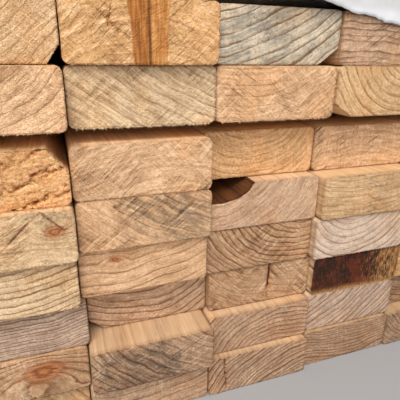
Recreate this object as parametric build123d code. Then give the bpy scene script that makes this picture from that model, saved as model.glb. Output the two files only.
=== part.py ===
from build123d import *
from math import sin
import os

os.makedirs("parts", exist_ok=True)

# A bundle of dressed pine studs, lying flat. X runs across the bundle, Y along the studs with
# the seen ends towards -Y, Z up. The origin is the middle of the footprint, on the floor.

# One stud, in millimetres
stud_width = 90
stud_thickness = 35
stud_length = 2400
edge_radius = 4

# How the studs are laid up
courses = 8
columns = 8
column_gap = 0.7
course_gap = 0.4

# Laths laid across the bundle between two courses, to tie it
lath_thickness = 8.5
lath_width = 35
lath_end_margin = 6
laths_above_course = 6

# Straps round the whole bundle, over the wrap, on the line of the laths
strap_width = 19
strap_thickness = 0.8
strap_clearance = 0.2
strap_spacing = 800

# Wrap over the top, down both long sides and torn off ragged at the seen end
wrap_thickness = 1
wrap_clearance = 0.3
wrap_side_drop = 95
wrap_back_margin = 30
wrap_corner = 6

# How far each seen stud is slid back (+) or stands proud (-), course 1 at the bottom
first_seen_column = 2
seen_slides = {
    1: (4, -5, -6, -1, -2),
    2: (-2, -12, 0, 2, 12),
    3: (0, 14, 9, 2, 5),
    4: (-7, 3, 7, 1, -3),
    5: (-11, -1, 6, -1, 4),
    6: (-6, -1, 19, 18, 12),
    7: (-10, 0, 2, 0, 3),
    8: (-4, -4, 4, 2, 0),
}
hidden_slide_reach = 7
hidden_slide_middle = 2

# How far each course has crept sideways
course_shifts = {1: -1.5, 2: 0, 3: 2, 4: -1.5, 5: 0, 6: -0.5, 7: 1, 8: 1}

# Wane: (course, column): side, top or bottom edge, width, height, length along the stud
wanes = {
    (8, 2): ("right", "bottom", 7, 10, 700),
    (8, 4): ("right", "bottom", 15, 11, 1100),
    (7, 5): ("left", "bottom", 15, 9, 900),
    (3, 3): ("left", "bottom", 11, 9, 500),
    (6, 2): ("right", "top", 11, 15, 300),
}

# Knot hole that opens on the end, the top and the left edge of one stud
knot_stud = (5, 4)
knot_width = 37
knot_depth = 10
knot_floor = 20
knot_length = 85

# The torn end: the stud broke away instead of being sawn, and slopes back at its top
torn_stud = (6, 2)
torn_height = 13
torn_run = 5

bundle_width = columns * stud_width + (columns - 1) * column_gap
column_pitch = stud_width + column_gap
course_pitch = stud_thickness + course_gap
strap_stations = (-strap_spacing, 0, strap_spacing)
lath_slot = lath_thickness + 2 * course_gap


def slide(course, column):
    seen = column - first_seen_column
    if 0 <= seen < len(seen_slides[course]):
        return seen_slides[course][seen]
    return hidden_slide_middle + round(hidden_slide_reach * sin(2.3 * course + 1.9 * column))


def course_bottom(course):
    raised = lath_slot - course_gap if course > laths_above_course else 0
    return (course - 1) * course_pitch + raised


stack_height = course_bottom(courses) + stud_thickness
places = [(i, k) for i in range(1, courses + 1) for k in range(1, columns + 1)]
slides = [slide(course, column) for course, column in places]

# The front plane of a stud with no slide, set so that the whole bundle is centred on Y
front = -(stud_length + min(slides) + max(slides)) / 2


def plain_stud():
    """A dressed stud with eased long edges, from its lower left front corner"""
    section = Pos(stud_width / 2, stud_thickness / 2) * RectangleRounded(
        stud_width, stud_thickness, edge_radius
    )
    return extrude(Plane.XZ * section, amount=-stud_length)


def cut_wane(stud, side, edge, width, height, length):
    """Takes off the bark corner that runs out along the stud, as one slanting flat"""
    corner_x = stud_width if side == "right" else 0
    corner_z = stud_thickness if edge == "top" else 0
    inward_x = -1 if side == "right" else 1
    inward_z = -1 if edge == "top" else 1
    on_face = Vector(corner_x + inward_x * width, 0, corner_z)
    on_side = Vector(corner_x, 0, corner_z + inward_z * height)
    run_out = Vector(corner_x, length, corner_z)
    normal = (on_side - on_face).cross(run_out - on_face)
    if normal.dot(Vector(corner_x, 0, corner_z) - on_face) < 0:
        normal = -normal
    return split(stud, bisect_by=Plane(origin=on_face, z_dir=normal), keep=Keep.BOTTOM)


def cut_knot_hole(stud):
    """Takes the fallen knot's hollow out of the front left top corner"""
    floor_z = stud_thickness - knot_depth
    above = stud_thickness + edge_radius
    with BuildSketch(Plane.XZ) as mouth:
        with BuildLine():
            Polyline((-edge_radius, above), (-edge_radius, floor_z), (knot_floor, floor_z))
            ThreePointArc(
                (knot_floor, floor_z),
                ((knot_floor + knot_width) / 2 + 3, stud_thickness - knot_depth * 0.6),
                (knot_width, stud_thickness),
            )
            Polyline((knot_width, stud_thickness), (knot_width, above), (-edge_radius, above))
        make_face()
    return stud - extrude(mouth.sketch, amount=-knot_length, taper=4)


def cut_torn_end(stud):
    """Slopes the broken end back along its top"""
    low = Vector(0, 0, stud_thickness - torn_height)
    slope = Plane(origin=low, x_dir=(1, 0, 0), z_dir=(0, -torn_height, torn_run))
    return split(stud, bisect_by=slope, keep=Keep.BOTTOM)


def make_course(course):
    """One course of studs side by side"""
    left = -bundle_width / 2 + course_shifts[course]
    studs = []
    for column in range(1, columns + 1):
        place = (course, column)
        stud = plain_stud()
        if place in wanes:
            stud = cut_wane(stud, *wanes[place])
        if place == knot_stud:
            stud = cut_knot_hole(stud)
        if place == torn_stud:
            stud = cut_torn_end(stud)
        x = left + (column - 1) * column_pitch
        studs.append(Pos(x, front + slide(course, column), course_bottom(course)) * stud)
    return studs


# Outside of everything the wrap goes round
wrap_inside = bundle_width / 2 + max(abs(shift) for shift in course_shifts.values()) + wrap_clearance
wrap_outside = wrap_inside + wrap_thickness
wrap_under = stack_height + wrap_clearance
wrap_top = wrap_under + wrap_thickness
strap_inside = wrap_outside + strap_clearance


def band_outline(grow):
    """The line that the straps follow, grown outwards by a distance"""
    low = strap_thickness - grow
    high = wrap_top + strap_clearance + grow
    outline = Pos(0, (low + high) / 2) * Rectangle(2 * (strap_inside + grow), high - low)
    foot = outline.vertices().group_by(Axis.Y)[0]
    outline = fillet(foot, edge_radius - course_gap + grow)
    shoulder = outline.vertices().group_by(Axis.Y)[-1]
    return fillet(shoulder, wrap_corner + wrap_thickness + strap_clearance + grow)


def make_straps():
    """Closed bands, let into the bottom course so that the bundle lies flat"""
    ring = Plane.XZ * (band_outline(strap_thickness) - band_outline(0))
    return [
        Pos(0, station + strap_width / 2, 0) * extrude(ring, amount=strap_width)
        for station in strap_stations
    ]


def strap_groove(station):
    """The band's bite into the underside, with room for the band"""
    depth = strap_thickness + strap_clearance
    wide = strap_width + 2 * strap_clearance
    return Pos(0, station, depth / 2) * Box(2 * wrap_outside, wide, depth)


def make_laths():
    """Three sawn laths between two courses, across the bundle"""
    length = bundle_width - 2 * lath_end_margin
    z = course_bottom(laths_above_course) + course_pitch + lath_thickness / 2
    return [Pos(0, y, z) * Box(length, lath_width, lath_thickness) for y in strap_stations]


# The wrap's torn edge at the seen end, as (distance from the middle of the bundle, height over
# the top of the studs): it lies back on the top at the left and hangs over the end at the right
flap_start = -12
torn_edge = [(5, -3), (24, -5), (40, -9), (90, -15), (150, -11), (210, -24), (290, -19), (350, -28)]
torn_set_back = [(-300, 70), (-250, 35), (-205, 60), (-160, 48), (-125, 22), (-95, 6), (-60, 3)]
torn_set_back.append((flap_start, 3))


def make_wrap():
    """The sheet over the top with its two side drops, and the ragged flap over the seen end"""
    flap_columns = range(first_seen_column + 3, columns + 1)
    flap_back = front + min(slide(courses, column) for column in flap_columns) - wrap_clearance
    flap_front = flap_back - wrap_thickness
    back_end = front + stud_length - wrap_back_margin
    hem = wrap_top - wrap_side_drop

    def bent_section(half_width, top, corner):
        height = 2 * wrap_side_drop
        return Pos(0, top - height / 2) * RectangleRounded(2 * half_width, height, corner)

    over = bent_section(wrap_outside, wrap_top, wrap_corner + wrap_thickness)
    under = bent_section(wrap_inside, wrap_under, wrap_corner)
    below_hem = Pos(0, hem - wrap_side_drop) * Rectangle(3 * wrap_outside, 2 * wrap_side_drop)
    sheet = extrude(Plane.XZ * (over - under - below_hem), amount=flap_front - back_end)
    sheet = Pos(0, flap_front, 0) * sheet

    torn_off = [(-2 * wrap_outside, front + torn_set_back[0][1])]
    torn_off += [(x, front + back) for x, back in torn_set_back]
    torn_off += [(flap_start, 2 * flap_front), (-2 * wrap_outside, 2 * flap_front)]
    sheet -= extrude(make_face(Polyline(*torn_off, close=True)), 2 * wrap_top)

    hang = [(flap_start, wrap_under)] + [(x, stack_height + z) for x, z in torn_edge]
    hang += [(2 * wrap_outside, stack_height + torn_edge[-1][1]), (2 * wrap_outside, wrap_under)]
    end_face = Rectangle(2 * wrap_inside, 2 * wrap_under)
    flap = extrude(Plane.XZ * (make_face(Polyline(*hang, close=True)) & end_face), wrap_thickness)
    return (sheet + Pos(0, flap_back, 0) * flap).clean()


for course in range(1, courses + 1):
    studs = make_course(course)
    if course == 1:
        for station in strap_stations:
            studs = [stud - strap_groove(station) for stud in studs]
    export_step(Compound(children=studs), f"parts/course_{course}.step")

export_step(Compound(children=make_laths()), "parts/tie_laths.step")
export_step(Compound(children=make_straps()), "parts/straps.step")
export_step(make_wrap(), "parts/wrap.step")
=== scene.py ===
from functools import partialmethod
from math import cos, pi, radians, sin

import bpy
import mathutils.noise
import numpy as np
from mathutils import Matrix, Vector


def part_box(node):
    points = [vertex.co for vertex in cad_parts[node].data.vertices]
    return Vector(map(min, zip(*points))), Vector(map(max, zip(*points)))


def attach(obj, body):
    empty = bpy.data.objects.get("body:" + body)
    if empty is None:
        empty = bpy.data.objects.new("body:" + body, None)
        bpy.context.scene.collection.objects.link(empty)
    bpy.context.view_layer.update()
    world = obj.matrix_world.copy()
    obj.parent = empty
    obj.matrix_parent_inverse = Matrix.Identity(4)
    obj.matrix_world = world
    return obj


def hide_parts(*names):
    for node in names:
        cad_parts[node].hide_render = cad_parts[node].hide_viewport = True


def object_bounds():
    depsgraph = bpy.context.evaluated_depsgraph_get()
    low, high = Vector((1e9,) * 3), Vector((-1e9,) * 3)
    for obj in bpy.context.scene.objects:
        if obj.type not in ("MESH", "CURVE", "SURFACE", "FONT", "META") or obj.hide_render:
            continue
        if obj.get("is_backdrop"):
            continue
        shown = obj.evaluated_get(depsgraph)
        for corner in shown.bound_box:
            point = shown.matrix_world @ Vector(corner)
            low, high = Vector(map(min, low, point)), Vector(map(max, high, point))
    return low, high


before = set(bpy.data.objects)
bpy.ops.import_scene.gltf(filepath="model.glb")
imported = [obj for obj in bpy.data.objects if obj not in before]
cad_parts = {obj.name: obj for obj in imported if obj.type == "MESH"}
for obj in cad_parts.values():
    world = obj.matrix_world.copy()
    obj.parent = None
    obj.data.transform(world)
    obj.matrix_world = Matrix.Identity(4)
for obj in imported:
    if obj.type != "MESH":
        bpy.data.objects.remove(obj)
cad_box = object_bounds()

# Studs: dressed pine, planed on four sides with eased long edges and sawn to length at the mill.
# Eight lie side by side in a course, each slid a little along its neighbours, so the sawn ends
# stand at different depths.
stud_width = 0.090
stud_thickness = 0.035
edge_radius = 0.004
section = {"Stud width": stud_width, "Stud thickness": stud_thickness, "Edge radius": edge_radius}
studs_across = 8
course_count = 8
seen_columns = (2, 3, 4, 5, 6)


def node_points(name):
    """The corners of a CAD node's mesh"""
    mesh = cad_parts[name].data
    points = np.empty(len(mesh.vertices) * 3)
    mesh.vertices.foreach_get("co", points)
    return points.reshape(-1, 3)


def stud_places(course):
    """The lower left front corner and the length of each stud of a course, read off the frame"""
    rounding = 0.0003
    points = node_points(f"course_{course}")
    left = points[:, 0].min()
    pitch = (points[:, 0].max() - left - stud_width) / (studs_across - 1)
    column = ((points[:, 0] - left + rounding) // pitch).clip(0, studs_across - 1).astype(int)
    base = points[:, 2].max() - stud_thickness
    places = []
    for k in range(studs_across):
        depths = points[column == k, 1]
        places.append((left + k * pitch, depths.min(), base, np.ptp(depths)))
    return places


class Wire:
    """A node socket that arithmetic can be written with"""

    def __init__(self, socket):
        self.socket = socket
        self.tree = socket.id_data

    def do(self, operation, *others):
        """What one maths node makes of this wire and the others"""
        on_vectors = self.socket.type in {"VECTOR", "RGBA"}
        kind = "ShaderNodeVectorMath" if on_vectors else "ShaderNodeMath"
        made = node(self.tree, kind, self, *others, operation=operation)
        measured = on_vectors and operation in {"LENGTH", "DOT_PRODUCT"}
        return Wire(made.outputs["Value" if measured else 0])

    __add__ = partialmethod(do, "ADD")
    __sub__ = partialmethod(do, "SUBTRACT")
    __mul__ = partialmethod(do, "MULTIPLY")
    __truediv__ = partialmethod(do, "DIVIDE")
    at_least = partialmethod(do, "MAXIMUM")
    at_most = partialmethod(do, "MINIMUM")
    above = partialmethod(do, "GREATER_THAN")
    below = partialmethod(do, "LESS_THAN")

    def times(self, factor):
        """A vector or a colour, longer or brighter by a factor"""
        return wire(self.tree, "ShaderNodeVectorMath", self, Scale=factor, operation="SCALE")

    def parts(self):
        return [Wire(out) for out in node(self.tree, "ShaderNodeSeparateXYZ", self).outputs]

    def rise(self, low, high):
        """0 up to low, 1 from high on, and smooth between"""
        span = {"From_Min": low, "From_Max": high}
        return wire(self.tree, "ShaderNodeMapRange", self, **span, interpolation_type="SMOOTHSTEP")

    def fall(self, low, high):
        """1 up to low, 0 from high on, and smooth between"""
        return self.rise(low, high) * -1 + 1

    def painted(self, share, colour):
        """This colour, turned by a share to another"""
        return mix(share, self, colour)

    def tinted(self, share, tint):
        """This colour, multiplied by a share of a tint"""
        return mix(share, self, self * tint)


def feed(socket, value):
    """Link a wire or a socket to a socket, or set the socket's value"""
    if isinstance(value, Wire):
        value = value.socket
    if isinstance(value, bpy.types.NodeSocket):
        socket.id_data.links.new(value, socket)
    elif socket.type == "VECTOR" and isinstance(value, (int, float)):
        socket.default_value = (value,) * 3
    elif socket.type == "RGBA" and len(value) == 3:
        socket.default_value = (*value, 1)
    elif socket.type == "INT":
        socket.default_value = int(value)
    else:
        socket.default_value = value


def node(tree, kind, *inputs, **named):
    """A node with its inputs in order or, with a capital letter, by name, and its settings"""
    made = tree.nodes.new(kind)
    for name, value in named.items():
        if name.islower():
            setattr(made, name, value)
    for number, value in enumerate(inputs):
        feed(made.inputs[number], value)
    for name, value in named.items():
        if not name.islower():
            feed(made.inputs[name.replace("_", " ")], value)
    return made


def wire(tree, kind, *inputs, **named):
    """The first output of such a node"""
    return Wire(node(tree, kind, *inputs, **named).outputs[0])


def tree_of(*values):
    """The tree that the first wire among the values is in"""
    return next(value.tree for value in values if isinstance(value, Wire))


def vector(x, y, z):
    return wire(tree_of(x, y, z), "ShaderNodeCombineXYZ", x, y, z)


def noise(at, scale, seed=0, detail=2, rough=0.5):
    """Smooth noise from 0 to 1; scale is in features a metre"""
    inputs = {"Vector": at, "W": seed, "Scale": scale, "Detail": detail, "Roughness": rough}
    return wire(at.tree, "ShaderNodeTexNoise", **inputs, noise_dimensions="4D")


def mix(share, first, second):
    """One colour, turned by a share to another"""
    made = node(tree_of(share, first, second), "ShaderNodeMix", share, data_type="RGBA")
    feed(made.inputs[6], first)
    feed(made.inputs[7], second)
    return Wire(made.outputs[2])


def linear(red, green, blue):
    """A colour as a paint chart gives it, from 0 to 255, for the shader"""
    return tuple(((c / 255 + 0.055) / 1.055) ** 2.4 for c in (red, green, blue))


def metres(*sizes):
    """Sizes that are given in mm"""
    return tuple(size / 1000 for size in sizes)


# The pine's colours, from 0 to 255
tones = {
    "cream": (232, 200, 160),
    "peach": (235, 190, 147),
    "grey": (222, 206, 182),
    "tan": (217, 178, 134),
    "yellow": (230, 190, 142),
    "pink": (217, 179, 147),
    "orange": (228, 178, 124),
    "pale": (226, 200, 178),
    "mauve": (206, 178, 157),
    "brown": (202, 161, 124),
    "dull": (186, 150, 120),
    "fawn": (200, 164, 134),
    "amber": (235, 186, 134),
}

# What each seen stud's end looks like, by course and column: how far the pith lies right of and
# above its lower left corner in mm, ring width in mm, how dark the late wood is, tone, the
# direction square to the saw marks in degrees, how strong they are and how much they cross, and
# how much blue stain and how many fine checks it has
seen_ends = {
    (8, 2): (-40, 140, 5, 0.22, "tan", -55, 0.6, 0.5, 0.1, 0.1),
    (8, 3): (45, -60, 7, 0.16, "orange", -48, 0.6, 0.8, 0, 0.6),
    (8, 4): (-22, 165, 6.5, 0.66, "grey", 0, 0.2, 0, 1, 0.1),
    (8, 5): (30, -160, 4.5, 0.52, "pink", 0, 0.3, 0.2, 0.3, 0.9),
    (7, 2): (45, 65, 8, 0.32, "peach", -50, 0.5, 0.6, 0, 0.1),
    (7, 3): (201, 289, 6, 0.28, "cream", -50, 0.7, 0.8, 0.35, 0.1),
    (7, 4): (20, 120, 8, 0.10, "peach", -45, 0.7, 0.7, 0, 0.5),
    (7, 5): (63, 55, 6, 0.46, "yellow", 0, 0.2, 0, 0, 0),
    (6, 2): (60, 90, 9, 0.03, "orange", 0, 0, 0, 0, 0),
    (6, 3): (60, -120, 7, 0.12, "peach", -45, 0.9, 0.5, 0.3, 0.3),
    (6, 4): (38, 68, 5, 0.26, "amber", 20, 0.2, 0.2, 0, 0),
    (6, 5): (50, -150, 6, 0.14, "peach", 0, 0.4, 0.2, 0.1, 1.4),
    (5, 2): (60, -60, 8, 0.18, "cream", -60, 0.6, 0.2, 0.25, 0.2),
    (5, 3): (140, 170, 5.5, 0.18, "peach", -52, 1.1, 0.3, 1, 0.1),
    (5, 4): (0, 62, 9, 0.14, "pink", -60, 0.4, 0.1, 0.1, 0.1),
    (5, 5): (30, 200, 4.5, 0.25, "tan", 5, 0.3, 0.1, 0, 0.4),
    (4, 2): (30, 190, 4.3, 0.70, "cream", 0, 0.2, 0.1, 0, 0),
    (4, 3): (20, 170, 7, 0.38, "peach", -70, 0.4, 0.2, 0.1, 0.1),
    (4, 4): (80, 80, 4.2, 0.68, "brown", -45, 0.9, 0.9, 0.3, 0),
    (4, 5): (35, 60, 5.5, 0.38, "pale", 0, 0.1, 0, 0, 0),
    (3, 2): (40, 260, 2.5, 0.80, "mauve", 0, 0.1, 0.1, 0.3, 0),
    (3, 3): (38, 95, 5.5, 0.56, "pink", -50, 0.4, 0.3, 0.4, 0.1),
    (3, 4): (70, 130, 6, 0.16, "brown", -45, 1.2, 0.9, 0, 0.3),
    (3, 5): (45, -90, 6, 0.30, "brown", 90, 0.3, 0, 0, 0),
    (2, 2): (62, 120, 5, 0.55, "brown", 10, 0.3, 0.1, 0.3, 0),
    (2, 3): (130, 120, 5, 0.45, "dull", -62, 0.7, 0.4, 1.3, 0.1),
    (2, 4): (68, -40, 4, 0.60, "fawn", 15, 0.2, 0.1, 0, 0),
    (2, 5): (-60, 150, 5, 0.60, "mauve", 0, 0.2, 0.1, 0.2, 0),
    (2, 6): (50, 150, 5, 0.50, "dull", 0, 0.2, 0.1, 0.8, 0),
    (1, 3): (40, 150, 8, 0.40, "fawn", 0, 0.2, 0, 0, 0.1),
    (1, 4): (95, -60, 3.6, 0.90, "fawn", 0, 0.2, 0.1, 0.2, 0.1),
    (1, 5): (45, 220, 3.2, 0.60, "dull", 10, 0.3, 0.1, 0.1, 0.1),
    (1, 6): (120, 140, 4, 0.50, "dull", 20, 0.3, 0.1, 0.9, 0.1),
}
# Where a seen end is stained: the middle, across and up, and the reach, in mm
stains = {
    (7, 3): (55, 40, 46),
    (6, 3): (8, 22, 34),
    (5, 2): (78, 32, 26),
    (5, 3): (70, 20, 36),
    (4, 4): (6, 8, 24),
    (2, 2): (84, 8, 26),
    (2, 3): (36, 12, 27),
}
stained_all_over = (45, 17, 500)
# Bark corners that were left on: side, top or bottom edge, width and height at the end, length
waned = {
    (8, 2): ("right", "bottom", 0.007, 0.010, 0.70),
    (8, 4): ("right", "bottom", 0.015, 0.011, 1.10),
    (7, 5): ("left", "bottom", 0.015, 0.009, 0.90),
    (6, 2): ("right", "top", 0.011, 0.015, 0.30),
    (3, 3): ("left", "bottom", 0.011, 0.009, 0.50),
}
# Knots: across, up and radius in mm
knots = {(8, 2): (8, 26, 1.5), (5, 2): (78, 22, 4), (4, 3): (24, 26, 2.5), (2, 2): (60, 22, 9)}
# Cracks in an end, two at most: from and to, across and up, and how wide, in mm
cracks = {
    (8, 3): ((20, 28, 31, 17, 0.2), (28, 33, 25, 20, 0.2)),
    (5, 2): ((70.7, 35, 46, 11.7, 0.22), (70.7, 35, 83.3, 21.7, 0.32)),
    (5, 3): ((24, 30, 29, 24, 0.3),),
    (3, 4): ((54, 34, 53, 12, 1.8), (53, 12, 52.5, 2, 0.6)),
    (1, 4): ((13, 34, 15.5, 6, 0.5),),
}
# How furry the saw left the lower and right edges of an end
furry = {(8, 3): 0.5, (8, 4): 0.3, (8, 5): 0.6, (7, 2): 0.4, (7, 3): 1, (7, 4): 1}
furry |= {(6, 2): 0.6, (6, 3): 0.5, (1, 5): 0.6}
slightly_furry = 0.12
common_tones = ["cream", "peach", "grey", "tan", "yellow", "pink", "orange", "pale", "brown"]
torn_stud = (6, 2)
pit_row_spacing = 0.0145
hollow_stud = (5, 4)
bark_stud = (3, 5)
resin_stud = (8, 3)
chance = np.random.default_rng(41)


def stud_look(course, column):
    """One stud's look: as seen, or drawn by chance where the photograph doesn't reach"""
    bearing = chance.uniform(0, 360)
    away = chance.uniform(60, 200)
    drawn = (
        45 + away * cos(radians(bearing)),
        17 + away * sin(radians(bearing)),
        chance.uniform(3, 8),
        chance.uniform(0.2, 0.6),
        chance.choice(common_tones),
        chance.uniform(0, 90),
        *chance.uniform(0.1, 0.8, 2),
        chance.choice([0.0, 0.1, 0.5]),
        chance.choice([0.0, 0.1, 0.6]),
    )
    return seen_ends.get((course, column), drawn)


def wane_plane(key):
    """A point on the wane's flat, and its outward normal, in the stud's own frame"""
    if key not in waned:
        return Vector(), Vector()
    side, edge, width, height, length = waned[key]
    right, top = side == "right", edge == "top"
    corner = Vector((right * stud_width, 0, top * stud_thickness))
    on_face = corner + Vector((-width if right else width, 0, 0))
    on_side = corner + Vector((0, 0, -height if top else height))
    normal = (on_side - on_face).cross(corner + Vector((0, length, 0)) - on_face).normalized()
    if normal.dot(corner - on_face) < 0:
        normal.negate()
    return on_face, normal


def course_looks(course):
    """What each stud of a course looks like, as lists of vectors by name"""
    looks = []
    for k, (x, y, z, length) in enumerate(stud_places(course)):
        key = (course, k + 1)
        across, up, ring, late, tone, saw, rough, cross, blue, checks = stud_look(*key)
        own_seed = course * 17 + k * 3.1
        wane_at, wane_out = wane_plane(key)
        look = {
            "pith": (x + across / 1000, own_seed, z + up / 1000),
            "ring": (ring / 1000, late, checks),
            "tone": linear(*tones[tone]),
            "saw": (cos(radians(saw)), sin(radians(saw)), rough),
            "stain": (blue, cross, key == resin_stud),
            "stain_at": metres(*stains.get(key, stained_all_over)),
            "knot": metres(*knots.get(key, (0, 0, 0))),
            "odd": (key == torn_stud, key == hollow_stud, key == bark_stud),
            "wane_at": wane_at,
            "wane_out": wane_out,
            "seen": (k + 1 in seen_columns, furry.get(key, slightly_furry), 0),
        }
        lines = [metres(*line) for line in cracks.get(key, ())]
        lines += [(0, 0, 0, 0, 0)] * (2 - len(lines))
        for n, (from_x, from_z, to_x, to_z, wide) in enumerate(lines):
            look[f"crack_from_{n}"] = (from_x, wide, from_z)
            look[f"crack_to_{n}"] = (to_x, wide, to_z)
        looks.append(look)
    return {name: [look[name] for look in looks] for name in looks[0]}


def placed(name, mesh):
    """An object in the scene, at the origin"""
    made = bpy.data.objects.new(name, mesh)
    bpy.context.scene.collection.objects.link(made)
    return made


def place_points(name, places, looks):
    """An object of loose points that carry the vectors in looks"""
    mesh = bpy.data.meshes.new(name)
    mesh.from_pydata(places, [], [])
    for layer_name, values in looks.items():
        layer = mesh.attributes.new(layer_name, "FLOAT_VECTOR", "POINT")
        layer.data.foreach_set("vector", np.array(values, dtype=float).ravel())
    return placed(name, mesh)


def named(tree, name):
    """A stud's vector in a Geometry Nodes tree"""
    return wire(tree, "GeometryNodeInputNamedAttribute", Name=name, data_type="FLOAT_VECTOR")


def store(tree, geometry, name, value, kind="FLOAT_VECTOR"):
    inputs = {"Geometry": geometry, "Name": name, "Value": value}
    return wire(tree, "GeometryNodeStoreNamedAttribute", **inputs, data_type=kind)


def realized(tree, geometry):
    return wire(tree, "GeometryNodeRealizeInstances", geometry)


def joined(tree, *pieces):
    made = node(tree, "GeometryNodeJoinGeometry")
    for piece in pieces:
        feed(made.inputs[0], piece)
    return Wire(made.outputs[0])


def here(tree):
    """The place of the point that a Geometry Nodes tree is at"""
    return wire(tree, "GeometryNodeInputPosition")


def to_line(x, z, start, end):
    """How far (x, z) is from the line between two points that lie in XZ"""
    start_x, _, start_z = start.parts()
    end_x, _, end_z = end.parts()
    run_x, run_z = end_x - start_x, end_z - start_z
    gone_x, gone_z = x - start_x, z - start_z
    share = (gone_x * run_x + gone_z * run_z) / (run_x * run_x + run_z * run_z + 1e-9)
    share = share.at_least(0).at_most(1)
    return vector(gone_x - run_x * share, 0, gone_z - run_z * share).do("LENGTH")


def new_tree(name, sizes):
    """A Geometry Nodes tree with named sizes, and its inputs as wires by name"""
    tree = bpy.data.node_groups.new(name, "GeometryNodeTree")
    sockets = tree.interface
    sockets.new_socket("Geometry", in_out="INPUT", socket_type="NodeSocketGeometry")
    sockets.new_socket("Geometry", in_out="OUTPUT", socket_type="NodeSocketGeometry")
    for size, value in sizes.items():
        kind = "NodeSocketInt" if isinstance(value, int) else "NodeSocketFloat"
        sockets.new_socket(size, in_out="INPUT", socket_type=kind).default_value = value
    sockets.new_socket("Material", in_out="INPUT", socket_type="NodeSocketMaterial")
    given = tree.nodes.new("NodeGroupInput").outputs
    return tree, {socket.name: Wire(socket) for socket in given if socket.name}


def dress(tree, given, geometry):
    """The tree's last steps: instances realized, material set, smooth shaded"""
    bare = realized(tree, geometry)
    dressed = wire(tree, "GeometryNodeSetMaterial", bare, Material=given["Material"])
    smooth = wire(tree, "GeometryNodeSetShadeSmooth", dressed, Shade_Smooth=True)
    node(tree, "NodeGroupOutput", smooth)
    return tree


def stud_blank(tree, given, cell):
    """One plain stud from its sawn end at Y 0, with the end as a fine grid"""
    sizes = ("Stud width", "Stud thickness", "Stud length", "Edge radius")
    width, thick, length, radius = (given[size] for size in sizes)
    weld = 0.0001
    counts = (width / cell + 1.5, thick / cell + 1.5)
    grid = wire(tree, "GeometryNodeMeshGrid", width, thick, *counts)

    # The grid's corners are drawn in to round edges
    position = here(tree)
    core = vector(width * 0.5 - radius, thick * 0.5 - radius, 0)
    inner = position.do("ABSOLUTE").at_most(core)
    over = position.do("ABSOLUTE") - inner
    over_x, over_y, _ = over.parts()
    eased = inner + over.times(over_x.at_least(over_y) / over.do("LENGTH"))
    eased = eased * position.do("SIGN")
    end_face = grown = wire(tree, "GeometryNodeSetPosition", grid, Position=eased)

    # The other end is one flat face inside the grid's rim
    on_rim = wire(tree, "GeometryNodeInputMeshEdgeNeighbors").below(1.5)
    rim = wire(tree, "GeometryNodeMeshToCurve", end_face, Selection=on_rim)
    cap = wire(tree, "GeometryNodeFillCurve", rim, mode="NGONS")
    back = wire(tree, "GeometryNodeFlipFaces", cap)

    # Extruded in steps that get shorter towards the seen end. Each step's offset is linked,
    # because one that is only set would follow the normals.
    back_steps = (0.001, 0.012)
    seen_steps = (0.1, 0.03, 0.018, 0.010, 0.006, 0.0025, 0.0012)
    middle_step = (length - sum(back_steps) - sum(seen_steps)) / 3
    for step in (*back_steps, *[middle_step] * 3, *seen_steps):
        reach = wire(tree, "ShaderNodeCombineXYZ", 0, 0, step)
        grown = wire(tree, "GeometryNodeExtrudeMesh", grown, Offset=reach, Individual=False)
    merged = wire(tree, "GeometryNodeMergeByDistance", joined(tree, grown, back), Distance=weld)
    to_place, upright = vector(width * 0.5, length, thick * 0.5), (radians(90), 0, 0)
    blank = wire(tree, "GeometryNodeTransform", merged, Translation=to_place, Rotation=upright)
    blank = store(tree, blank, "at", position)
    y = position.parts()[1]
    sawn = y.below(2 * weld).at_least(y.above(length - 2 * weld))
    return store(tree, blank, "sawn", sawn, "FLOAT")


def sawn_relief(tree, given, at, seed):
    """How far the saw, cracks, tearing and bark set the end in, and how deep it is pitted"""
    x, y, z = at.parts()
    tear, _, bark = named(tree, "odd").parts()
    saw_cos, saw_sin, saw_rough = named(tree, "saw").parts()
    at_end = y.fall(0, 0.0012)
    across_saw = x * saw_cos + z * saw_sin
    along_saw = z * saw_cos - x * saw_sin
    waver = noise(at, 30, seed, 1) - 0.4
    ridge = noise(vector(across_saw, along_saw * 0.1, 0), 330, seed) - 0.5
    nap = noise(at, 700, seed, 1) - 0.5
    push = waver.at_least(0) * given["Saw waver"]
    push = push + (ridge * (saw_rough + 0.3) + nap * 0.6) * given["Saw ridges"] * at_end
    for n in (0, 1):
        start, end = (named(tree, f"crack_{way}_{n}") for way in ("from", "to"))
        far = to_line(x, z, start, end) / (start.parts()[1] + 1e-6)
        push = push + far.fall(0.6, 1.6) * given["Crack depth"] * at_end

    # The torn end: crumbled wood with pits in slanting rows
    slant = vector(x + z * 0.6, 0, z - x * 0.42)
    row = ((slant.parts()[2] + waver * 0.004) * (2 * pi / pit_row_spacing)).do("SINE")
    pits = noise(slant * (0.6, 1, 1), 250, seed, 3, 0.66).rise(0.46, 0.64)
    pits = pits * row.rise(-0.1, 0.8)
    crumbs = noise(at, 400, seed, 2, 0.7)
    torn = (pits * 0.9 + crumbs * 0.4) * tear
    barked = noise(at * (1, 1, 0.12), 520, seed, 3, 0.7) * bark
    push = push + (torn * given["Tear depth"] + barked * given["Bark depth"]) * at_end
    return push * y.fall(0, 0.007), torn.at_least(barked) * at_end


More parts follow.
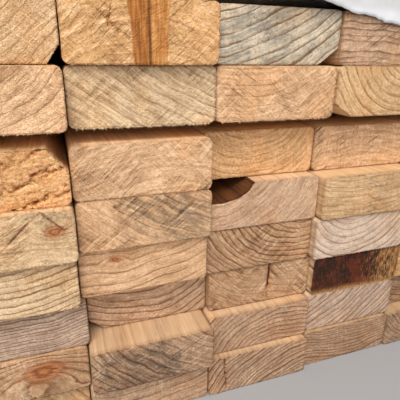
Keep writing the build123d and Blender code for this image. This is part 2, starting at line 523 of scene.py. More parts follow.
def ragged_edges(given, at, seed):
    """How far the edges of the end are worn in, sideways and up or down"""
    worn_band = 0.0015
    x, y, z = at.parts()
    from_middle = vector(x, 0, z) - (stud_width / 2, 0, stud_thickness / 2)
    inner_x, _, inner_z = from_middle.do("ABSOLUTE").parts()
    by_side = inner_x.rise(stud_width / 2 - worn_band, stud_width / 2)
    by_face = inner_z.rise(stud_thickness / 2 - worn_band, stud_thickness / 2)
    bite = noise(at, 260, seed + 3, 3, 0.65).rise(0.42, 0.72)
    bite = bite * given["Ragged edge"] * y.fall(0, 0.0012)
    side_way, _, face_way = from_middle.do("SIGN").parts()
    return side_way * by_side * bite * -1, face_way * by_face * bite * -1


def wane(tree, at, seed):
    """What brings the wood outside a bark corner down to its knobbly flat"""
    out = named(tree, "wane_out")
    proud = (at - named(tree, "wane_at")).do("DOT_PRODUCT", out).at_least(0)
    knobbly = noise(at * (1, 0.3, 1), 120, seed) * 0.0012 * proud.rise(0, 0.001)
    return out.times((proud + knobbly) * -1)


def knot_hollow(tree, given, at):
    """The fallen knot's hollow: what lies inside an ellipsoid moves out to its rough wall"""
    centre_x, centre_z = 0.008, stud_thickness + 0.006
    x, y, z = at.parts()
    half_width, half_height = (given[f"Hollow half {side}"] for side in ("width", "height"))
    depth = (y / given["Hollow length"]).at_most(1)
    rough_wall = (noise(at, 170, 4, 3, 0.6) - 0.5) * 0.22 + 0.97
    shrink = (depth * depth * -1 + 1).at_least(0).do("SQRT") * rough_wall
    share_x = (x - centre_x) / half_width
    share_z = (z - centre_z) / half_height
    far = (share_x * share_x + share_z * share_z).do("SQRT")
    inside = far.below(shrink) * named(tree, "odd").parts()[1]
    stretch = (shrink / far - 1) * inside
    wall = vector(share_x * half_width * stretch, 0, share_z * half_height * stretch)
    return wall, inside


def course_tree():
    """Geometry Nodes that saw a stud to length, ease its edges and lay one on every point"""
    sizes = section | {
        "Stud length": 2.4,
        "Seen cell": 0.0010,
        "Hidden cell": 0.0030,
        "Saw waver": 0.0008,
        "Saw ridges": 0.00025,
        "Ragged edge": 0.0009,
        "Tear depth": 0.0048,
        "Bark depth": 0.004,
        "Crack depth": 0.003,
        "Hollow half width": 0.029,
        "Hollow half height": 0.020,
        "Hollow length": 0.085,
    }
    tree, given = new_tree("lay a course of studs", sizes)
    seen = named(tree, "seen").parts()[0]
    laid = []
    for cell, chosen in (("Seen cell", seen), ("Hidden cell", seen * -1 + 1)):
        blank = {"Instance": stud_blank(tree, given, given[cell]), "Selection": chosen}
        laid.append(wire(tree, "GeometryNodeInstanceOnPoints", given["Geometry"], **blank))
    studs = realized(tree, joined(tree, *laid))
    at, seed = named(tree, "at"), named(tree, "pith").parts()[1]
    push, pit = sawn_relief(tree, given, at, seed)
    side_wear, face_wear = ragged_edges(given, at, seed)
    wall, inside = knot_hollow(tree, given, at)
    # The pit mask also tells the shader where to paint shade: in the torn pits, and above 1 deep in
    # the knot hollow
    studs = store(tree, studs, "pit", pit.at_least(inside * 2), "FLOAT")
    for offset in (vector(side_wear, push, face_wear), wane(tree, at, seed), wall):
        studs = wire(tree, "GeometryNodeSetPosition", studs, Offset=offset)
    return dress(tree, given, studs)


def attribute(tree, name, output="Vector"):
    """A stud's vector or number in a material"""
    return Wire(node(tree, "ShaderNodeAttribute", attribute_name=name).outputs[output])


def new_material(name):
    """A material with its shader, and the place that it colours"""
    material = bpy.data.materials.new(name)
    material.use_nodes = True
    tree = material.node_tree
    place = Wire(node(tree, "ShaderNodeTexCoord").outputs["Object"])
    return material, tree.nodes["Principled BSDF"], place


def set_shader(shader, height, strength, depth, **inputs):
    """Set a shader's inputs, with a height as its fine relief"""
    relief = {"Height": height, "Strength": strength, "Distance": depth}
    inputs["Normal"] = wire(shader.id_data, "ShaderNodeBump", **relief)
    for name, value in inputs.items():
        feed(shader.inputs[name.replace("_", " ")], value)


class Wood:
    """A point of the pine, as wires: its place, its place on its stud and how that stud looks.
    Year rings are shells round a pith that runs along the stud, pushed aside by a knot, so every
    face shows the same wood."""

    def __init__(self, place, across):
        self.tree = tree = place.tree
        self.place = place
        self.x, self.y, self.z = place.parts()
        if across:
            self.x, self.y = self.y, self.x
        self.at_x, self.at_y, self.at_z = attribute(tree, "at").parts()
        self.seed = attribute(tree, "pith").parts()[1]
        self.ring, self.late_share, self.checks = attribute(tree, "ring").parts()
        self.saw_cos, self.saw_sin, self.saw_rough = attribute(tree, "saw").parts()
        self.blue, self.cross, self.resin = attribute(tree, "stain").parts()
        self.torn, _, self.bark = attribute(tree, "odd").parts()
        self.tone = attribute(tree, "tone")
        self.sawn = attribute(tree, "sawn", "Fac")
        self.pit = attribute(tree, "pit", "Fac")
        self.planed = self.sawn * -1 + 1
        self.front = self.sawn * self.at_y.fall(0.5, 0.6)

        self.along = vector(self.x, self.y * 0.06, self.z)
        knot_x, knot_z, self.knot_radius = attribute(tree, "knot").parts()
        knot_away = vector((self.at_x - knot_x) * 0.6, self.at_y * 0.15, self.at_z - knot_z)
        self.to_knot = knot_away.do("LENGTH") / (self.knot_radius + 1e-5)
        pith_x, _, pith_z = attribute(tree, "pith").parts()
        from_x, from_z = self.x - pith_x, self.z - pith_z
        self.from_pith = vector(from_x, 0, from_z).do("LENGTH")
        self.shell = self.from_pith + self.to_knot.fall(0.4, 3.2) * self.knot_radius * 2.2
        for scale, detail, reach in ((24, 1, 0.012), (130, 2, 0.0022), (480, 2, 0.0006)):
            self.shell = self.shell + (noise(self.along, scale, self.seed, detail) - 0.5) * reach
        self.arc = from_z.do("ARCTAN2", from_x) * self.from_pith
        self.on_ring = vector(self.shell, self.y * 0.05, self.arc * 0.12)
        self.pore = self.grain(1250, 0, 2, 0.7) - 0.5
        self.grit = self.grain(560, 4, 2, 0.6) - 0.5
        self.lamella = noise(self.on_ring, 620, self.seed + 5, 3, 0.62) - 0.5

    def grain(self, scale, seed, detail, rough, stretch=0.02, flatten=1):
        """Noise that is drawn out along the piece, and upwards where flatten is below 1"""
        drawn = vector(self.x, self.y * stretch, self.z * flatten)
        return noise(drawn, scale, self.seed + seed, detail, rough)


def late_wood(wood):
    """Each ring's wood, which darkens slowly and then fast to a sharp edge"""
    count = wood.shell / wood.ring
    count = count + (noise(vector(count * 0.6, wood.seed, 0), 1, 0, 0) - 0.5) * 1.3
    turn = count.do("FRACT")
    number = count.do("FLOOR") + wood.seed
    year = wire(wood.tree, "ShaderNodeTexWhiteNoise", W=number, noise_dimensions="1D")
    late = (turn.rise(0.10, 0.95) * 0.27 + turn.rise(0.66, 0.93) * 0.73) * turn.fall(0.95, 1)
    faded = noise(wood.on_ring, 260, wood.seed + 2, 3, 0.6).rise(0.30, 0.55)
    return late * (year * 0.45 + 0.75) * (faded * 0.6 + 0.5)


def saw_marks(wood):
    """Strokes of the saw one way and, weaker, the other way"""
    marks = []
    for way in (1, -1):
        across_saw = wood.x * wood.saw_cos + wood.z * wood.saw_sin * way
        along_saw = wood.z * wood.saw_cos - wood.x * wood.saw_sin * way
        lined = vector(across_saw, along_saw * 0.045, way)
        fine = noise(lined, 950, wood.seed, 2, 0.6)
        stroke = fine.rise(0.28, 0.46) * 0.35 + fine.rise(0.54, 0.70) * 0.45 + fine * 0.5 - 0.65
        swath = noise(lined, 300, wood.seed + 5) - 0.5
        shown = noise(wood.along, 50, wood.seed + 8 * way, 1).rise(0.38, 0.58)
        strength = wood.saw_rough if way > 0 else wood.cross * wood.saw_rough
        marks.append((stroke * 0.7 + swath * 0.7) * shown * strength * wood.sawn)
    return marks[0] + marks[1]


def stained(wood, colour):
    """Blue stain that runs along the rings in patches, with black specks of mould"""
    stain_x, stain_z, reach = attribute(wood.tree, "stain_at").parts()
    streak = noise(wood.on_ring, 420, wood.seed + 3, 3, 0.65).rise(0.40, 0.62)
    patch = noise(wood.along, 42, wood.seed + 3, 3, 0.6).rise(0.44, 0.60)
    far = vector((wood.at_x - stain_x) * 0.8, 0, wood.at_z - stain_z).do("LENGTH") / (reach + 1e-5)
    near = (far + (patch - 0.5) * 0.5).fall(0.45, 1)
    patch = patch.at_least(reach.below(0.1)) * near
    fading = wood.at_y.fall(0.6, 1.8) * 0.7 + 0.3
    share = wood.blue * patch * (streak * 0.75 + 0.25) * (wood.sawn * 0.6 + 0.4) * fading
    colour = colour.tinted(share.at_most(1), (0.50, 0.53, 0.57))
    specks = wood.grain(620, 11, 3, 0.7, stretch=0.2).rise(0.56, 0.67)
    return colour.tinted(specks * (wood.blue * near).rise(0.25, 0.9) * 0.68, (0.34, 0.34, 0.34))


def knotted(wood, colour):
    """A knot: red-brown rings of its own"""
    share = (wood.to_knot + wood.lamella * 1.2).fall(0.35, 1.5)
    turns = (wood.to_knot + wood.lamella * 0.8 + wood.pore * 0.5) * 13
    knot_wood = mix(turns.do("SINE") * 0.5 + 0.5, linear(132, 66, 30), linear(200, 128, 74))
    return colour.painted(share * wood.knot_radius.above(0.0001) * 0.9, knot_wood)


def painted_shade_and_pits(wood, colour, across):
    """Painted shade: on the sawn ends' rims, in the joints, on the planed faces' fronts, in the
    pits over their own darker colour, and deep in the knot hollow
    """
    rim_x = (wood.at_x - stud_width / 2).do("ABSOLUTE") * -1 + stud_width / 2
    rim_z = (wood.at_z - stud_thickness / 2).do("ABSOLUTE") * -1 + stud_thickness / 2
    if not across:
        # Painted shade: the rim round each sawn end is darkened, dulling the light its edges catch
        rim = rim_x.at_most(rim_z) + wood.pore * 0.002
        colour = colour.tinted(rim.fall(0.0001, 0.0014) * wood.sawn * 0.30, (0.42, 0.32, 0.24))
    # Painted shade on the planed sides near the front, where neighbouring studs meet
    joint_shade = rim_x.fall(0.0001, 0.0012) * (wood.at_y + wood.grit * 0.02).fall(0.01, 0.05)
    colour = colour.tinted(joint_shade * wood.planed * 0.35, (0.34, 0.27, 0.22))
    # Painted shade over the first few mm of the planed faces behind the sawn end, dulling the lit
    # front edges of the ledges
    front_edge_shade = (wood.at_y + wood.grit * 0.004).fall(0.0005, 0.005)
    colour = colour.tinted(front_edge_shade * wood.planed * 0.55, (0.62, 0.53, 0.45))
    # The torn end's pits in a darker orange-brown: the torn wood's own colour, with painted shade
    # in the pits
    pitted = (colour * (0.58, 0.31, 0.14)).times(wood.lamella * 1.6 + 1)
    colour = colour.painted(wood.pit.rise(0.38, 1) * 0.95, pitted)
    # Painted shade deep inside the knot hollow
    hollow = (colour * (0.16, 0.145, 0.13)).times(wood.grit * 1.6 + 1)
    return colour.painted(wood.pit.rise(1.3, 2) * 0.9, hollow)


def cracked(wood, colour):
    """Cracks: a dark line with a reddish edge, darkest where it is widest"""
    broken = noise(wood.place, 160, wood.seed + 4).rise(0.36, 0.52)
    for n in (0, 1):
        start, end = (attribute(wood.tree, f"crack_{way}_{n}") for way in ("from", "to"))
        wobble = (noise(wood.place, 260, wood.seed + n, 3, 0.6) - 0.5) * 0.004
        width = start.parts()[1]
        far = to_line(wood.at_x + wobble, wood.at_z + wobble, start, end) / (width + 1e-6)
        open_here = width.above(1e-5) * wood.sawn
        colour = colour.tinted(far.fall(0.5, 3) * open_here * 0.45, (0.80, 0.50, 0.34))
        dark = far.fall(0.2, 0.8) * open_here * (broken * 0.6 + 0.4) * width.rise(0, 0.0006)
        colour = colour.painted(dark, linear(70, 34, 18))
    return colour


def resin_soaked(wood, colour):
    """Two resin-soaked bands from top to bottom of an end, with a dark seam between them"""
    left_foot, seam, right_foot = 0.0355, 0.0478, 0.0600
    sway = (noise(vector(wood.x, 0, wood.z), 110, 2, 3, 0.6) - 0.5) * 0.004
    low_share = wood.at_z * (-1 / stud_thickness) + 1
    past_left = wood.at_x + sway - (low_share * 0.0030 + left_foot)
    past_right = wood.at_x + sway - (low_share * -0.0015 + right_foot)
    drawn_up = vector(wood.x, wood.y * 0.02, wood.z * 0.08)
    runs = noise(drawn_up, 620, 5, 3, 0.65).rise(0.36, 0.64)
    left_band = mix(runs, linear(150, 82, 30), linear(206, 136, 68))
    right_band = mix(runs, linear(186, 112, 48), linear(228, 164, 96))
    bands = mix((wood.at_x - seam).rise(-0.0004, 0.0004), left_band, right_band)
    from_seam = (wood.at_x + sway * 0.3 - seam).do("ABSOLUTE")
    bands = bands.painted(from_seam.fall(0.0002, 0.0013) * 0.8, linear(84, 44, 18))
    bands = bands.tinted(past_left.fall(0.0004, 0.0026) * 0.5, (0.74, 0.56, 0.40))
    inside = past_left.rise(-0.0003, 0.0012) * past_right.fall(-0.0012, 0.0003) * wood.resin
    return colour.painted(inside * wood.front.at_least(wood.planed) * 0.95, bands)


def barked(wood, colour):
    """A bark end: red-brown fibres with black between them, and bare wood at its right and foot"""
    hair = wood.grain(700, 0, 3, 0.75, stretch=0.1, flatten=0.22)
    blotch = wood.grain(95, 1, 3, 0.65, stretch=0.1, flatten=0.6)
    bark = mix(blotch.rise(0.42, 0.66), linear(38, 12, 6), linear(98, 38, 17))
    bark = bark.painted(hair.rise(0.50, 0.78) * 0.8, linear(160, 88, 44))
    bare = (wood.at_x + (hair - 0.5) * 0.06 + (blotch - 0.5) * 0.05).rise(0.052, 0.090)
    bare = bare.at_least((wood.at_z + (hair - 0.5) * 0.016).fall(0.001, 0.005))
    bare = bare * (hair.fall(0.40, 0.57) * -0.74 + 0.86)
    fleck = wood.lamella * 1.5 + 1
    golden = vector(*(fleck * c for c in linear(202, 150, 94)))
    return colour.painted(wood.bark * wood.front * 0.97, bark.painted(bare, golden))


def pine(name, across=False):
    """Pine, sawn on its ends and planed on its sides, with what each stud has of its own"""
    material, shader, place = new_material(name)
    wood = Wood(place, across)
    sawn, pore, grit = wood.sawn, wood.pore, wood.grit
    torn = wood.torn * wood.front
    late = late_wood(wood)
    marks = saw_marks(wood)
    cloud = noise(wood.along, 36, wood.seed + 9, 3, 0.6) - 0.5
    warmth = noise(wood.along, 28, wood.seed + 6) - 0.5
    crumb = wood.grain(560, 0, 3, 0.7, stretch=0.4) - 0.5
    spoke = vector(wood.from_pith * 0.13, wood.y * 0.04, wood.arc)
    check = noise(spoke, 640, wood.seed + 1).rise(0.58, 0.67) * wood.checks * sawn
    check = check * noise(wood.along, 45, wood.seed + 7, 1).rise(0.45, 0.6)

    brightness = cloud * 0.7 + pore * (sawn * 0.2 + 0.9) + grit * (sawn * 0.1 + 0.8)
    brightness = brightness + wood.lamella * (sawn + 0.25) + marks * 1.8 + 1.03
    brightness = brightness + crumb * torn * 1.5 + torn * 0.10
    colour = mix(sawn, wood.tone.painted(0.4, linear(232, 200, 158)), wood.tone)
    late_dark = (late * wood.late_share * (sawn * 1.35 + 0.20)).at_most(1)
    colour = colour.tinted(late_dark, (0.40, 0.28, 0.19)).times(brightness)
    colour = colour.tinted(brightness.fall(0.72, 1) * 0.7, (1.04, 0.92, 0.80))
    colour = colour.painted(brightness.rise(1.08, 1.45) * sawn * 0.40, linear(250, 232, 202))
    colour = colour.tinted(torn * 0.7, (1.02, 0.92, 0.84))
    colour = colour.tinted(warmth.rise(-0.02, 0.16) * 0.55, (1, 0.86, 0.72))
    colour = colour.tinted(warmth.fall(-0.16, 0) * 0.35, (0.95, 0.93, 0.92))
    colour = stained(wood, colour).tinted(check * 0.8, (0.25, 0.17, 0.12))
    # Painted shade in the joints, on the end rims, on the ledge fronts, in the pits and in the knot
    # hollow
    colour = painted_shade_and_pits(wood, knotted(wood, colour), across)
    colour = barked(wood, resin_soaked(wood, cracked(wood, colour)))

    height = crumb * torn * 2.2 + late * 0.35 + pore * (sawn * 1.1 + 0.3) + grit * sawn * 0.7
    height = height + marks * 1.3 - check * 1.5
    gloss = {"Roughness": pore * 0.4 + (sawn * 0.14 + 0.64), "Specular_IOR_Level": 0.25}
    set_shader(shader, height, 0.9, 0.0010, Base_Color=colour, **gloss)
    return material


def settle(blank, name):
    """The finished piece as a plain mesh at the origin"""
    bpy.context.view_layer.update()
    seen = blank.evaluated_get(bpy.context.evaluated_depsgraph_get())
    mesh = bpy.data.meshes.new_from_object(seen)
    bpy.data.objects.remove(blank)
    return placed(name, mesh)


def grow(blank, tree, values, name):
    """The piece that a tree makes of an object's points, with the tree's inputs by name"""
    layer = blank.modifiers.new("grow", "NODES")
    layer.node_group = tree
    for item in tree.interface.items_tree:
        if item.item_type == "SOCKET" and item.in_out == "INPUT" and item.name in values:
            layer[item.identifier] = values[item.name]
    return settle(blank, name)


course_nodes = course_tree()
pine_wood = pine("pine")
looks = {course: course_looks(course) for course in range(1, course_count + 1)}
for course in looks:
    places = stud_places(course)
    blank = place_points(f"course {course} places", [place[:3] for place in places], looks[course])
    sizes = {"Stud length": float(places[0][3]), "Material": pine_wood}
    studs = grow(blank, course_nodes, sizes, f"studs_course_{course}")
    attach(studs, "root")
    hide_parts(f"course_{course}")

# Saw fuzz: the cross-cut saw leaves a fur of torn fibres along the lower and right edges of the
# sawn ends. Each hair is a thin pyramid of the stud's wood, its tone painted lighter for the light
# it would catch, with its root in the end face.
hair_length = 0.0018
hair_radius = 0.00026
root_depth = 0.0002
fuzz_inset = 0.0003
side_inset = 0.0004
floor_gap = 0.0001


def fuzz_tree():
    """Geometry Nodes that set hairs along two edges of every stud's end"""
    sizes = section | {
        "Hair length": hair_length,
        "Hair radius": hair_radius,
        "Hairs below": 420,
        "Hairs beside": 130,
        "Seed": 7,
    }
    tree, given = new_tree("saw fuzz", sizes)
    low = given["Edge radius"]
    side = given["Stud width"] - side_inset
    lines = []
    for hairs, start, end in (
        ("Hairs below", (low, fuzz_inset), (given["Stud width"] - low, fuzz_inset)),
        ("Hairs beside", (side, low), (side, given["Stud thickness"] - low)),
    ):
        start, end = (vector(x, root_depth, z) for x, z in (start, end))
        ends = {"Start_Location": start, "Offset": end, "mode": "END_POINTS"}
        lines.append(wire(tree, "GeometryNodeMeshLine", given[hairs], **ends))
    position = here(tree)
    edges = store(tree, joined(tree, *lines), "at", position)
    laid = wire(tree, "GeometryNodeInstanceOnPoints", given["Geometry"], Instance=edges)
    roots = realized(tree, laid)
    at = named(tree, "at")
    furry_share = named(tree, "seen").parts()[1]
    clump = noise(at, 140, named(tree, "pith").parts()[1]).rise(0.30, 0.55) * 0.8 + 0.2

    def random(low, high, more):
        made = node(tree, "FunctionNodeRandomValue", Seed=given["Seed"] + more, data_type="FLOAT")
        feed(made.inputs[2], low)
        feed(made.inputs[3], high)
        return Wire(made.outputs[1])

    proud = (at - named(tree, "wane_at")).do("DOT_PRODUCT", named(tree, "wane_out"))
    kept = random(0, 1, 1).below(furry_share * clump) * proud.below(0.0002)
    cone = {"Radius_Bottom": given["Hair radius"], "Depth": given["Hair length"]}
    hair = wire(tree, "GeometryNodeMeshCone", 4, Radius_Top=0, **cone)
    turn = vector(random(radians(95), radians(205), 2), random(-0.8, 0.8, 3), random(0, 6, 4))
    scale = random(0.35, 1.25, 5) * (furry_share * 0.6 + 0.5)
    growth = {"Instance": hair, "Selection": kept, "Rotation": turn, "Scale": scale}
    fuzz = realized(tree, wire(tree, "GeometryNodeInstanceOnPoints", roots, **growth))
    fuzz = store(tree, fuzz, "sawn", 1, "FLOAT")
    fuzz = store(tree, fuzz, "at", at + (0, 0, 0.004))
    # Painted light: the hairs' tone is made lighter, standing in for the light they would catch
    fuzz = store(tree, fuzz, "tone", named(tree, "tone") * (1.15, 1.2, 1.25))
    tip_x, tip_y, tip_z = position.parts()
    above_floor = vector(tip_x, tip_y, tip_z.at_least(floor_gap))
    fuzz = wire(tree, "GeometryNodeSetPosition", fuzz, Position=above_floor)
    return dress(tree, given, fuzz)


fuzz_nodes = fuzz_tree()
for course in looks:
    places = [place[:3] for place in stud_places(course)]
    blank = place_points(f"course {course} edges", places, looks[course])
    fuzz = grow(blank, fuzz_nodes, {"Material": pine_wood}, f"saw_fuzz_course_{course}")
    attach(fuzz, "root")

# Tie laths: rough sawn strips of pine laid across the bundle between two courses to bind the
# load. Each is made like a short stud along Y and then turned to lie across.
lath_width = 0.035
lath_thickness = 0.0085
strap_stations = (-0.8, 0, 0.8)
lath_points = node_points("tie_laths")
lath_left, _, lath_base = lath_points.min(axis=0)
lath_starts = [(y - lath_width / 2, lath_left, lath_base) for y in strap_stations]
lath_look = {
    "pith": (0.02, 3, 0.05),
    "ring": (0.0035, 0.5, 0),
    "tone": linear(*tones["yellow"]),
    "saw": (0.3, 0.95, 0.8),
    "stain": (0.3, 0.5, 0),
}
lath_sizes = {
    "Stud width": lath_width,
    "Stud thickness": lath_thickness,
    "Stud length": float(np.ptp(lath_points[:, 0])),
    "Edge radius": 0.0008,
    "Hidden cell": 0.002,
    "Material": pine("rough pine", across=True),
}
lath_looks = {name: [value] * len(lath_starts) for name, value in lath_look.items()}
blank = place_points("lath places", lath_starts, lath_looks)
laths = grow(blank, course_nodes, lath_sizes, "tie_laths_sawn")
turned = np.empty(len(laths.data.vertices) * 3)
laths.data.vertices.foreach_get("co", turned)
laths.data.vertices.foreach_set("co", turned.reshape(-1, 3)[:, (1, 0, 2)].ravel())
laths.data.flip_normals()
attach(laths, "root")
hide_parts("tie_laths")

# Straps: three bands of blued steel round the bundle, drawn tight over the wrap, each closed by
# a crimped seal on the top. They follow the outline of the frame's own bands.
strap_width = 0.019
strap_thickness = 0.0008
strap_foot = 0.0044
strap_shoulder = 0.0080
corner_steps = 8
seal_at = 0.17
seal_length = 0.032
seal_overhang = 0.0006
seal_wall = 0.0006
seal_steps = 48
seal_crimps = (-0.009, 0, 0.009)
crimp_width = 0.0035
crimp_depth = 0.0004


def band_line(box):
    """Points and outward normals round a box's outline in XZ, with rounded corners"""
    low, high = box
    foot, shoulder = strap_foot, strap_shoulder
    corners = (
        (high.x - foot, low.z + foot, foot, -90),
        (high.x - shoulder, high.z - shoulder, shoulder, 0),
        (low.x + shoulder, high.z - shoulder, shoulder, 90),
        (low.x + foot, low.z + foot, foot, 180),
    )
    line = []
    for x, z, radius, start in corners:
        for step in range(corner_steps + 1):
            turn = radians(start + 90 * step / corner_steps)
            out = Vector((cos(turn), 0, sin(turn)))
            line.append((Vector((x, 0, z)) + out * radius, out))
    return line


def seal_line(top):
    """The seal's outer line along the band, dipped where the crimping jaws bit"""
    line = []
    for k in range(seal_steps + 1):
        x = seal_length * (k / seal_steps - 0.5)
        dip = max(0, *(1 - abs(x - crimp) * 2 / crimp_width for crimp in seal_crimps))
        line.append((Vector((seal_at - x, 0, top - crimp_depth * dip)), Vector((0, 0, 1))))
    return line


def flat_band(line, half_width, wall, y, closed):
    """Corners and faces of a flat band that follows a line"""
    corners, faces = [], []
    profile = ((-half_width, 0), (half_width, 0), (half_width, wall), (-half_width, wall))
    for point, out in line:
        for offset, depth in profile:
            corners.append(point + Vector((0, y + offset, 0)) - out * depth)
    count = len(line)
    for k in range(count if closed else count - 1):
        this, following = 4 * k, 4 * ((k + 1) % count)
        for side in range(4):
            after = (side + 1) % 4
            faces.append((this + side, this + after, following + after, following + side))
    if not closed:
        faces.append((3, 2, 1, 0))
        faces.append(tuple(4 * count - back for back in (4, 3, 2, 1)))
    return corners, faces


strap_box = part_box("straps")
seal_top = strap_box[1].z + seal_wall
half_seal = strap_width / 2 + seal_overhang
corners, faces = [], []
for station in strap_stations:
    for band in (
        flat_band(band_line(strap_box), strap_width / 2, strap_thickness, station, closed=True),
        flat_band(seal_line(seal_top), half_seal, seal_wall, station, closed=False),
    ):
        first = len(corners)
        corners += band[0]
        faces += [tuple(first + n for n in face) for face in band[1]]
strap_mesh = bpy.data.meshes.new("straps")
strap_mesh.from_pydata(corners, [], faces)
straps = placed("straps_and_seals", strap_mesh)

strap_steel, shader, place = new_material("blued strap steel")
wear = noise(place, 90, 2, 4, 0.65)
rub = noise(place * (40, 900, 40), 1, 6)
rubbed = (wear * 0.7 + rub * 0.3).rise(0.52, 0.66)
steel = mix(rubbed, (0.035, 0.040, 0.052), (0.20, 0.19, 0.185))
set_shader(shader, rub, 0.15, 0.0002, Base_Color=steel, Roughness=wear * 0.35 + 0.28, Metallic=0.85)
strap_mesh.materials.append(strap_steel)
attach(straps, "root")
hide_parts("straps")

# Wrap: a sheet of white woven plastic over the top of the bundle, folded down both sides under
# the straps. Its front is torn: at the left it lies back on the top, then curls up off the
# studs, and at the right it hangs over the sawn ends.
wrap_wall = 0.00018
wrap_lift = 0.0007
wrap_drop = 0.095
wrap_corner = 0.0066
inside_node = 0.0006
wrap_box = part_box("wrap")
wrap_front = wrap_box[0].y + inside_node
wrap_back = wrap_box[1].y
wrap_half = wrap_box[1].x - inside_node
stack_top = node_points(f"course_{course_count}")[:, 2].max()
# The torn edge from left to right: distance across, how far it reaches past the studs' front
# line (less than nothing where it is torn back), and height of its crest over the tops, in mm
torn_edge = (
    (-460, -74, 0), (-364, -78, 0), (-330, -52, 0), (-300, -68, 0), (-250, -35, 0), (-205, -60, 1),
    (-160, -48, 2), (-125, -22, 5), (-95, -6, 8), (-60, -1, 8), (-40, 1.8, 7), (-26.3, 3.8, 7),
    (-19.7, 4.2, 7), (-10.4, 7.1, 8), (-2.3, 9.7, 9), (2.7, 11.1, 10), (4.6, 12.9, 10),
    (16.4, 14.5, 11), (24, 16.5, 11.5), (30.9, 19, 12), (40.4, 21, 12.5), (62, 24, 13),
    (90, 27, 12), (118, 22, 10), (150, 19, 8), (180, 23, 6), (210, 29, 5), (250, 27, 5),
    (290, 23, 4), (350, 29, 1), (364, 20, 0), (380, 3, 0), (460, 0, 0),
)
torn_across, torn_reach, torn_curl = (np.array(row) / 1000 for row in zip(*torn_edge))
# The sheet's folds: how close they lie across and along, a metre, their sharpness and height
folds = (
    (5, 0.7, 2.6, 0.0034),
    (13, 1.8, 3, 0.0018),
    (2, 4.6, 4, 0.0011),
    (26, 12, 3, 0.0006),
)
# How far from the front the mesh keeps its cells, the folds reach full height and the curl
# flattens out, how near a strap they are pressed down, and how far they swell out at the sides
front_strip = 0.12
fold_run = 0.02
curl_run = 0.09
strap_pinch = 0.05
side_swell = 0.002


def waves(x, y, z):
    """Smooth noise about 0"""
    return mathutils.noise.noise(Vector((x, y, z)))


def wrinkle(s, t):
    """Height of the sheet's soft folds at a place on it"""
    sway = waves(s * 3, t * 2, 1.7)
    height = 0
    for number, (across, along, sharp, tall) in enumerate(folds):
        u, v = s * across + sway * 0.7, t * along + sway * 0.6 + s * 1.5
        height += tall * max(1 - abs(waves(u, v, 4.1 + 3 * number)) * sharp, 0) ** 2
    return height + 0.0004 * waves(s * 45, t * 32, 2.2)


def tooth(s):
    """How far the ragged edge strays from its line, most where it is torn far back"""
    torn_back = min(max(-np.interp(s, torn_across, torn_reach) / 0.02, 0), 1)
    nicks = waves(s * 900, 1.5, 0) * 0.0005 + waves(s * 210, 5.5, 0) * 0.0011
    return nicks + waves(s * 60, 9.5, 0) * 0.007 * torn_back


def spread(stops):
    """Positions from stop to stop, each span cut to the given step"""
    line = []
    for (low, step), (high, _) in zip(stops, stops[1:]):
        count = max(1, round((high - low) / step))
        line += [low + (high - low) * k / count for k in range(count)]
    return np.array([*line, stops[-1][0]])


quarter = wrap_corner * radians(90)
flat_half = wrap_half - wrap_corner
sheet_half = flat_half + quarter + wrap_drop - wrap_corner
acrosses = spread((
    (-sheet_half, 0.010),
    (-flat_half - quarter, 0.0035),
    (-flat_half, 0.0045),
    (-0.15, 0.0028),
    (0.13, 0.0050),
    (flat_half, 0.0035),
    (flat_half + quarter, 0.010),
    (sheet_half, 1),
))
alongs = spread(((0, 0.0022), (0.012, 0.004), (front_strip, 0.010), (0.4, 0.018), (2.4, 1)))


def wrap_point(s, t):
    """Where the sheet's point at s across and t along comes to lie"""
    reach_past = np.interp(s, torn_across, torn_reach) + tooth(s)
    if t > front_strip:
        length = wrap_back - wrap_front + reach_past
        t = front_strip + (t - front_strip) / (alongs[-1] - front_strip) * (length - front_strip)
    inward = t - max(reach_past, 0)
    on_top, down = max(inward, 0), max(-inward, 0)
    y = wrap_front + max(-reach_past, 0) + on_top
    held = min(abs(y - station) for station in strap_stations)
    fold = wrinkle(s, y) * min(1, on_top / fold_run + 0.15)
    fold *= min(1, max(0, held - strap_width / 2) / strap_pinch)
    near_front = max(0, 1 - on_top / curl_run)
    curl = np.interp(s, torn_across, torn_curl) * near_front * near_front * (3 - 2 * near_front)
    swell = fold + curl
    if down > 0:
        y = wrap_front - 0.0002 + waves(s * 60, t * 90, 3) * 0.0003
    z = stack_top + wrap_lift + swell - down
    side = abs(s)
    if side <= flat_half:
        return s, y, z
    if side <= flat_half + quarter:
        turn = (side - flat_half) / wrap_corner
        radius = wrap_corner + swell * 0.3
        x = flat_half + radius * sin(turn)
        z -= radius * (1 - cos(turn))
    else:
        x = wrap_half + min(swell, side_swell)
        z = stack_top + wrap_lift - wrap_corner - (side - flat_half - quarter) - down
    return (x if s > 0 else -x), y, z


rows = len(alongs)
corners = [wrap_point(s, t) for s in acrosses for t in alongs]
faces = [
    (a * rows + b, (a + 1) * rows + b, (a + 1) * rows + b + 1, a * rows + b + 1)
    for a in range(len(acrosses) - 1)
    for b in range(rows - 1)
]
wrap_mesh = bpy.data.meshes.new("wrap")
wrap_mesh.from_pydata(corners, [], faces)
blank = placed("wrap", wrap_mesh)
wall = blank.modifiers.new("wall", "SOLIDIFY")
wall.thickness = wrap_wall
wall.offset = -1

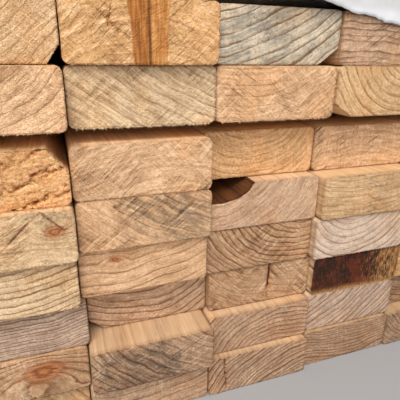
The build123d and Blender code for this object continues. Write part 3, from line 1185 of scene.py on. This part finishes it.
plastic, shader, place = new_material("white woven wrap")
x, y, z = place.parts()
smear = noise(place, 30, 1, 4, 0.6)
crease = noise(place, 75, 3, 3, 0.6)
dust = noise(place * (3, 1, 1), 3, 8, 4, 0.65).rise(0.35, 0.75) * 0.5 + 0.35
tapes = (x * 2600).do("SINE") * (y * 2600).do("SINE")
white = mix(smear.rise(0.35, 0.7), (0.80, 0.82, 0.86), (0.70, 0.71, 0.74))
dusted = white.tinted(z.rise(stack_top - 0.002, stack_top + 0.004) * dust, (0.66, 0.63, 0.58))
relief = tapes * 0.02 + crease
set_shader(shader, relief, 0.5, 0.0012, Base_Color=dusted, Roughness=smear * 0.3 + 0.35)

wrap = settle(blank, "wrap_sheet")
wrap.data.materials.append(plastic)
wrap.data.shade_smooth()
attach(wrap, "root")
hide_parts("wrap")

# The stage: a pale floor and pale air all round, with one large soft light over the seen end, a
# weaker one in front of it and one above the bundle.
half_floor = 6
around = ((-1, -1), (1, -1), (1, 1), (-1, 1))
floor_corners = [(x * half_floor, y * half_floor, 0) for x, y in around]
floor_mesh = bpy.data.meshes.new("floor")
floor_mesh.from_pydata(floor_corners, [], [(0, 1, 2, 3)])
floor = placed("floor", floor_mesh)
floor_paint, shader, _ = new_material("pale floor")
feed(shader.inputs["Base Color"], (0.40, 0.41, 0.43))
feed(shader.inputs["Roughness"], 0.8)
floor_mesh.materials.append(floor_paint)
floor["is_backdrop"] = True

air = bpy.data.worlds.new("pale air")
air.use_nodes = True
glow = air.node_tree.nodes["Background"]
feed(glow.inputs["Color"], (0.95, 0.97, 1))
feed(glow.inputs["Strength"], 0.30)
bpy.context.scene.world = air


def soft_light(name, place, target, size, power, colour):
    lamp = bpy.data.lights.new(name, "AREA")
    lamp.size = size
    lamp.energy = power
    lamp.color = colour
    stand = placed(name, lamp)
    stand.location = place
    stand.rotation_euler = (target - place).to_track_quat("-Z", "Y").to_euler()


seen_end = Vector((-0.1, cad_box[0].y, 0.15))
key_place = seen_end + Vector((-0.55, -1.05, 1.65))
fill_place = seen_end + Vector((-0.5, -2, 0.9))
soft_light("key light", key_place, seen_end, 1, 38, (1, 0.96, 0.90))
soft_light("fill light", fill_place, seen_end, 1.4, 18, (1, 0.97, 0.93))
soft_light("top light", Vector((0, 0.6, 2.6)), Vector((0, 0.3, 0)), 2, 26, (1, 0.98, 0.95))

# The camera stands close to the seen end, left of its middle, and looks down and to the right.
# Its place is measured from the left edge of the second column, at the plane of the sawn ends.
second_column = stud_places(4)[1][0] + 0.0015
end_plane = -1.2035
eye = Vector((second_column + 0.0856, end_plane - 0.2416, 0.2639))
turn_right, look_down, lean = radians(19.68), radians(20.16), radians(0.87)
picture_width = 36
focal_share = 1.006
level = cos(look_down)
ahead = Vector((sin(turn_right) * level, cos(turn_right) * level, -sin(look_down)))
level_right = ahead.cross(Vector((0, 0, 1))).normalized()
level_up = level_right.cross(ahead)
right = level_right * cos(lean) + level_up * sin(lean)
up = level_up * cos(lean) - level_right * sin(lean)
lens = bpy.data.cameras.new("camera")
lens.sensor_width = picture_width
lens.lens = picture_width * focal_share
lens.clip_start = 0.01
camera = placed("camera", lens)
camera.matrix_world = Matrix.Translation(eye) @ Matrix((right, up, -ahead)).transposed().to_4x4()
bpy.context.scene.camera = camera
bpy.context.scene.view_settings.view_transform = "Standard"

dressed_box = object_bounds()
sizes = {"cad": [list(v) for v in cad_box], "visual": [list(v) for v in dressed_box]}
